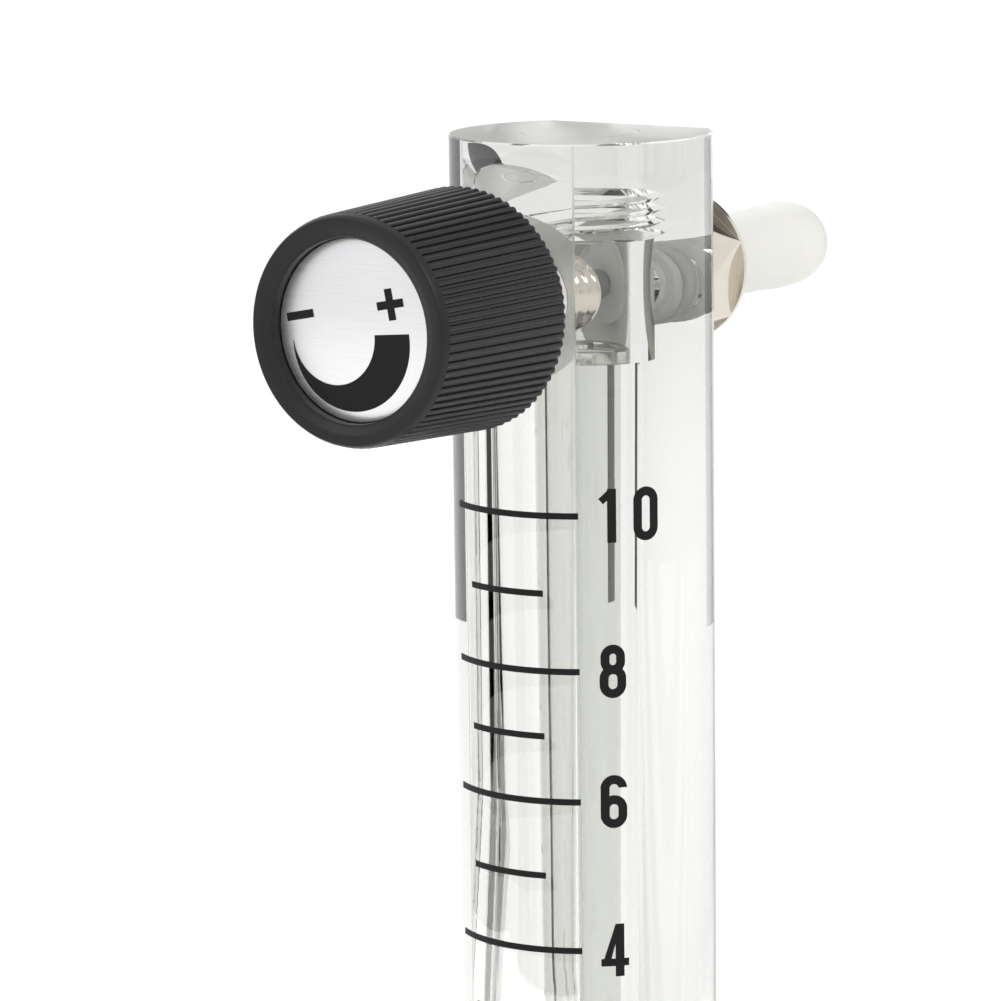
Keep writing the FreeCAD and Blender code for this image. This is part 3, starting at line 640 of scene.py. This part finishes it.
class METER_OT_knob(bpy.types.Operator):
    """Ribbed knob with its insert, screw, plate and marking"""
    bl_idname = "meter.knob"
    bl_label = "Knob"

    def rib_tree(self):
        """Geometry nodes that repeat one rib round the knob's axis."""
        tree = bpy.data.node_groups.new("grip_ribs", "GeometryNodeTree")
        face = tree.interface
        face.new_socket("Geometry", in_out="INPUT", socket_type="NodeSocketGeometry")
        face.new_socket("Count", in_out="INPUT", socket_type="NodeSocketInt")
        face.new_socket("Axis centre", in_out="INPUT", socket_type="NodeSocketVector")
        face.new_socket("Material", in_out="INPUT", socket_type="NodeSocketMaterial")
        face.new_socket("Geometry", in_out="OUTPUT", socket_type="NodeSocketGeometry")
        given = add_node(tree, "NodeGroupInput")
        points = add_node(tree, "GeometryNodePoints",
                          {"Count": given.outputs["Count"], "Position": given.outputs["Axis centre"]})
        index = add_node(tree, "GeometryNodeInputIndex")
        share = add_node(tree, "ShaderNodeMath", {0: index.outputs["Index"], 1: given.outputs["Count"]},
                         operation="DIVIDE")
        angle = add_node(tree, "ShaderNodeMath", {0: share.outputs["Value"], 1: 2 * math.pi},
                         operation="MULTIPLY")
        turn = add_node(tree, "ShaderNodeCombineXYZ", {"Y": angle.outputs["Value"]})
        ribs = add_node(tree, "GeometryNodeInstanceOnPoints",
                        {"Points": points.outputs["Points"], "Instance": given.outputs["Geometry"],
                         "Rotation": turn.outputs["Vector"]})
        real = add_node(tree, "GeometryNodeRealizeInstances", {"Geometry": ribs.outputs["Instances"]})
        painted = add_node(tree, "GeometryNodeSetMaterial",
                           {"Geometry": real.outputs["Geometry"], "Material": given.outputs["Material"]})
        add_node(tree, "NodeGroupOutput", {"Geometry": painted.outputs["Geometry"]})
        return tree

    def rib_mesh(self, front, rear, sizes):
        """One rounded rib along the knob, drawn round an axis through the origin."""
        half_foot = 0.3 * MM
        height = sizes.rib_height
        root = -0.25 * MM
        section = [(-half_foot, root), (-half_foot, 0.0), (-half_foot * 0.72, height * 0.75),
                   (-half_foot * 0.35, height), (half_foot * 0.35, height),
                   (half_foot * 0.72, height * 0.75), (half_foot, 0.0), (half_foot, root)]
        mesh_data = bmesh.new()
        rows = []
        for y, radius, squeeze in ((front[0] - 0.12 * MM, front[1], 0.6), (front[0], front[1], 1.0),
                                   (rear[0], rear[1], 1.0), (rear[0] + 0.15 * MM, rear[1], 0.5)):
            rows.append([mesh_data.verts.new((x, y, radius + (z * squeeze if z > 0 else z)))
                         for x, z in section])
        for low, high in zip(rows, rows[1:]):
            for step in range(len(section)):
                following = (step + 1) % len(section)
                mesh_data.faces.new((low[step], low[following], high[following], high[step]))
        mesh_data.faces.new(rows[0])
        mesh_data.faces.new(rows[-1])
        bmesh.ops.recalc_face_normals(mesh_data, faces=mesh_data.faces)
        mesh = bpy.data.meshes.new("grip_rib")
        mesh_data.to_mesh(mesh)
        mesh_data.free()
        return mesh

    def execute(self, context):
        sizes = context.scene.meter_sizes
        centre = Vector((0, BORE_Y, OUTLET_Z))
        rear = BORE_Y - KNOB_HIGH.y
        front = BORE_Y - KNOB_LOW.y
        seat = BORE_Y - PLATE_HIGH.y
        rear_core = (KNOB_HIGH.x - KNOB_LOW.x) / 2 - sizes.rib_height
        front_core = rear_core - 0.72 * MM
        outside = [(rear, rear_core - 0.55 * MM), (rear + 0.5 * MM, rear_core - 0.05 * MM),
                   (rear + 0.7 * MM, rear_core), (front - 1.0 * MM, front_core),
                   (front - 0.9 * MM, front_core + 0.22 * MM), (front - 0.3 * MM, front_core + 0.06 * MM),
                   (front - 0.1 * MM, front_core - 0.04 * MM), (front, front_core - 0.16 * MM),
                   (front, 9.35 * MM), (front - 0.06 * MM, 9.2 * MM), (front - 0.3 * MM, 8.55 * MM),
                   (front - 0.5 * MM, 8.38 * MM), (front - 0.8 * MM, 8.35 * MM),
                   (seat, 8.35 * MM), (seat, 2.6 * MM), (34.0 * MM, 2.6 * MM), (34.0 * MM, 1.3 * MM),
                   (33.0 * MM, 1.3 * MM), (33.0 * MM, 3.5 * MM), (20.5 * MM, 3.5 * MM),
                   (20.5 * MM, 5.0 * MM), (20.7 * MM, 5.2 * MM), (rear + 6.5 * MM, 5.2 * MM),
                   (rear + 6.5 * MM, 9.3 * MM), (rear, 9.3 * MM)]
        core = turned_mesh("knob_core", outside, place(centre, FRONT), ROUND, closed=True)
        ribs = add_object("grip_ribs", self.rib_mesh((BORE_Y - (front - 0.95 * MM), front_core),
                                                     (BORE_Y - (rear + 0.75 * MM), rear_core), sizes))
        modifier = ribs.modifiers.new("ribs", "NODES")
        modifier.node_group = self.rib_tree()
        sockets = {item.name: item.identifier for item in modifier.node_group.interface.items_tree
                   if item.item_type == "SOCKET" and item.in_out == "INPUT"}
        modifier[sockets["Count"]] = sizes.rib_count
        modifier[sockets["Axis centre"]] = (0.0, 0.0, OUTLET_Z)
        modifier[sockets["Material"]] = finishes()["knob"]
        settle(ribs)
        joined = bmesh.new()
        joined.from_mesh(core)
        joined.from_mesh(ribs.data)
        bpy.data.objects.remove(ribs)
        mesh = bpy.data.meshes.new("grip_knob")
        joined.to_mesh(mesh)
        joined.free()
        knob = smooth(add_object("grip_knob", mesh), 28)
        finish_piece(knob, finishes()["knob"], "knob_and_stem", "black_abs", "knob")
        edge = sizes.edge
        finish_piece(broken_edges("plate_disc", "knob_plate", edge), finishes()["plate"],
                     "knob_and_stem", "brushed_aluminium", "knob_plate")
        finish_piece(broken_edges("insert_bush", "knob_insert", edge), finishes()["brass"],
                     "knob_and_stem", "brass", "knob_insert")
        finish_piece(broken_edges("retaining_screw", "knob_screw", edge * 0.6), finishes()["steel"],
                     "knob_and_stem", "steel_screw", "knob_screw")
        paint_node("knob_marking", finishes()["ink"])
        return {"FINISHED"}


class METER_OT_hose_tails(bpy.types.Operator):
    """Two threaded hose tails with their seals, washers and panel nuts"""
    bl_idname = "meter.hose_tails"
    bl_label = "Hose tails"

    def tail_stations(self, pitch, seat):
        """Profile of a hose tail: threaded shank, neck, barb, rounded nose and the passage inside."""
        nose = []
        for step in range(13):
            angle = math.radians(7.5 * step)
            nose.append(((36.2 + 4.4 * math.sin(angle)) * MM, (3.1 + 1.2 * math.cos(angle)) * MM))
        stations = [(4.2 * MM, 2.9 * MM), (4.3 * MM, 3.3 * MM)]
        stations += thread_run(4.35 * MM, 18.6 * MM, SHANK_RADIUS, pitch, 0.7 * MM)
        stations += [(19.0 * MM, 3.45 * MM), (19.2 * MM, 3.6 * MM), (21.5 * MM, 3.6 * MM),
                     (27.2 * MM, 4.1 * MM), (27.8 * MM, 4.15 * MM), (33.2 * MM, 4.15 * MM),
                     (33.5 * MM, 4.2 * MM), (33.9 * MM, 4.28 * MM), (34.6 * MM, 4.3 * MM)]
        stations += nose
        stations += [(40.6 * MM, 2.2 * MM), (40.4 * MM, 2.0 * MM)]
        if seat:
            stations += [(5.2 * MM, 2.0 * MM), (5.2 * MM, 1.1 * MM), (4.2 * MM, 1.1 * MM)]
        else:
            stations += [(4.2 * MM, 2.0 * MM)]
        return stations

    def execute(self, context):
        sizes = context.scene.meter_sizes
        for port, z in (("outlet", OUTLET_Z), ("inlet", -OUTLET_Z)):
            centre = Vector((0, BORE_Y, z))
            stations = self.tail_stations(sizes.tail_pitch, port == "outlet")
            mesh = turned_mesh(port + "_tail", stations, place(centre, BACK), 128, closed=True)
            tail = smooth(add_object(port + "_barbed_tail", mesh), 35)
            finish_piece(tail, finishes()["nylon"], "block", "natural_nylon", port + "_hose_tail")
            low, high = 8.75 * MM, 10.3 * MM      # a hair off the block, so its back stays clear
            hole, rim, edge = 4.2 * MM, 8.0 * MM, 0.15 * MM
            ring = [(low, hole), (low, rim - edge), (low + edge, rim), (high - edge, rim),
                    (high, rim - edge), (high, hole)]
            mesh = turned_mesh(port + "_flat_washer", ring, place(centre, BACK), 96, closed=True)
            washer = add_object(port + "_flat_washer", mesh)
            finish_piece(smooth(washer, 35), finishes()["nylon"], "block", "natural_nylon",
                         port + "_washer")
            finish_piece(broken_edges(port + "_hex_nut", port + "_panel_nut", sizes.edge, 10),
                         finishes()["nickel"], "block", "nickel_plate", port + "_panel_nut")
            paint_node(port + "_o_ring", finishes()["silicone"])
        return {"FINISHED"}


class METER_OT_stage(bpy.types.Operator):
    """Pale floor, soft light and the camera"""
    bl_idname = "meter.stage"
    bl_label = "Stage"

    def add_card(self, name, colour, first, last, low):
        """Upright curved card that only the clear block's refractions see."""
        mesh_data = bmesh.new()
        rows = []
        for step in range(33):
            angle = math.radians(first + (last - first) * step / 32)
            x, y = CARD_REACH * math.sin(angle), BORE_Y - CARD_REACH * math.cos(angle)
            rows.append([mesh_data.verts.new((x, y, z)) for z in (low, CARD_TOP)])
        for left, right in zip(rows, rows[1:]):
            mesh_data.faces.new((left[0], right[0], right[1], left[1]))
        mesh = bpy.data.meshes.new(name)
        mesh_data.to_mesh(mesh)
        mesh_data.free()
        card = add_object(name, mesh)
        material, _, shader = new_material(name + "_matt")
        shader.inputs["Base Color"].default_value = linear(colour)
        shader.inputs["Roughness"].default_value = 0.9
        card.data.materials.append(material)
        card.visible_camera = False
        card.visible_diffuse = False
        card.visible_shadow = False

    def execute(self, context):
        scene = context.scene
        ground = -HALF_HEIGHT - 0.1 * MM
        floor = add_object("floor", box_mesh("floor", (-6, -6, ground - 10 * MM), (6, 6, ground)))
        material, _, shader = new_material("floor_pale_paper")
        shader.inputs["Base Color"].default_value = linear("#fafaf9")
        shader.inputs["Roughness"].default_value = 0.9
        floor.data.materials.append(material)

        self.add_card("dark_card", "#2b2b2b", 168, 190, ground + 1 * MM)

        world = bpy.data.worlds.new("studio_tent")
        scene.world = world
        world.use_nodes = True
        background = world.node_tree.nodes["Background"]
        background.inputs["Color"].default_value = linear("#fdfdfe")
        background.inputs["Strength"].default_value = 1.1

        target = Vector((0, BORE_Y, OUTLET_Z))
        for name, azimuth, elevation, distance, size, power in (
                ("key_softbox", -38, 42, 0.8, 0.4, 2.0),
                ("side_softbox", 80, 40, 0.8, 0.3, 1.0)):
            light = bpy.data.lights.new(name, "AREA")
            light.size = size
            light.energy = power
            lamp = bpy.data.objects.new(name, light)
            a, e = math.radians(azimuth), math.radians(elevation)
            away = Vector((math.sin(a) * math.cos(e), -math.cos(a) * math.cos(e), math.sin(e)))
            lamp.location = target + away * distance
            lamp.rotation_euler = away.to_track_quat("Z", "Y").to_euler()
            lamp.visible_camera = False
            scene.collection.objects.link(lamp)

        camera_data = bpy.data.cameras.new("camera")
        camera_data.sensor_width = 36
        camera_data.lens = 181.4
        camera_data.clip_start = 0.01
        camera_data.clip_end = 30
        camera = bpy.data.objects.new("camera", camera_data)
        azimuth = math.radians(32.9)
        heading = math.radians(33.86)
        pitch = math.radians(9.61)
        roll = math.radians(-0.70)
        reach, height = 0.4756, 0.0598
        camera.location = (reach * math.sin(azimuth), BORE_Y - reach * math.cos(azimuth), OUTLET_Z + height)
        look = Vector((-math.sin(heading) * math.cos(pitch), math.cos(heading) * math.cos(pitch),
                       -math.sin(pitch)))
        level = look.to_track_quat("-Z", "Y").to_matrix().to_4x4()
        turn = level @ Matrix.Rotation(roll, 4, "Z")
        camera.rotation_euler = turn.to_euler()
        scene.collection.objects.link(camera)
        scene.camera = camera
        scene.view_settings.view_transform = "Standard"
        scene.cycles.max_bounces = 32
        scene.cycles.transmission_bounces = 28
        scene.cycles.glossy_bounces = 12
        return {"FINISHED"}


class METER_PT_panel(bpy.types.Panel):
    """Sizes, colours and the pieces in order"""
    bl_label = "Flow meter"
    bl_idname = "METER_PT_panel"
    bl_space_type = "VIEW_3D"
    bl_region_type = "UI"
    bl_category = "Flow meter"

    def draw(self, context):
        for group in (context.scene.meter_sizes, context.scene.meter_colours):
            box = self.layout.box()
            for name in group.bl_rna.properties.keys():
                if name not in {"rna_type", "name"}:
                    box.prop(group, name)
        for operator in OPERATORS:
            self.layout.operator(operator.bl_idname)


OPERATORS = (METER_OT_stage, METER_OT_block, METER_OT_scale, METER_OT_tube_fittings, METER_OT_valve,
             METER_OT_knob, METER_OT_hose_tails)
CLASSES = (MeterSizes, MeterColours) + OPERATORS + (METER_PT_panel,)


def register():
    """Register the classes and hang the settings on the scene."""
    for made in CLASSES:
        bpy.utils.register_class(made)
    bpy.types.Scene.meter_sizes = bpy.props.PointerProperty(type=MeterSizes)
    bpy.types.Scene.meter_colours = bpy.props.PointerProperty(type=MeterColours)


def unregister():
    """Take the settings and the classes away again."""
    del bpy.types.Scene.meter_colours
    del bpy.types.Scene.meter_sizes
    for made in reversed(CLASSES):
        bpy.utils.unregister_class(made)


def main():
    """Build every piece in order."""
    register()
    for operator in OPERATORS:
        space, name = operator.bl_idname.split(".")
        getattr(getattr(bpy.ops, space), name)()


if __name__ == "__main__":
    main()
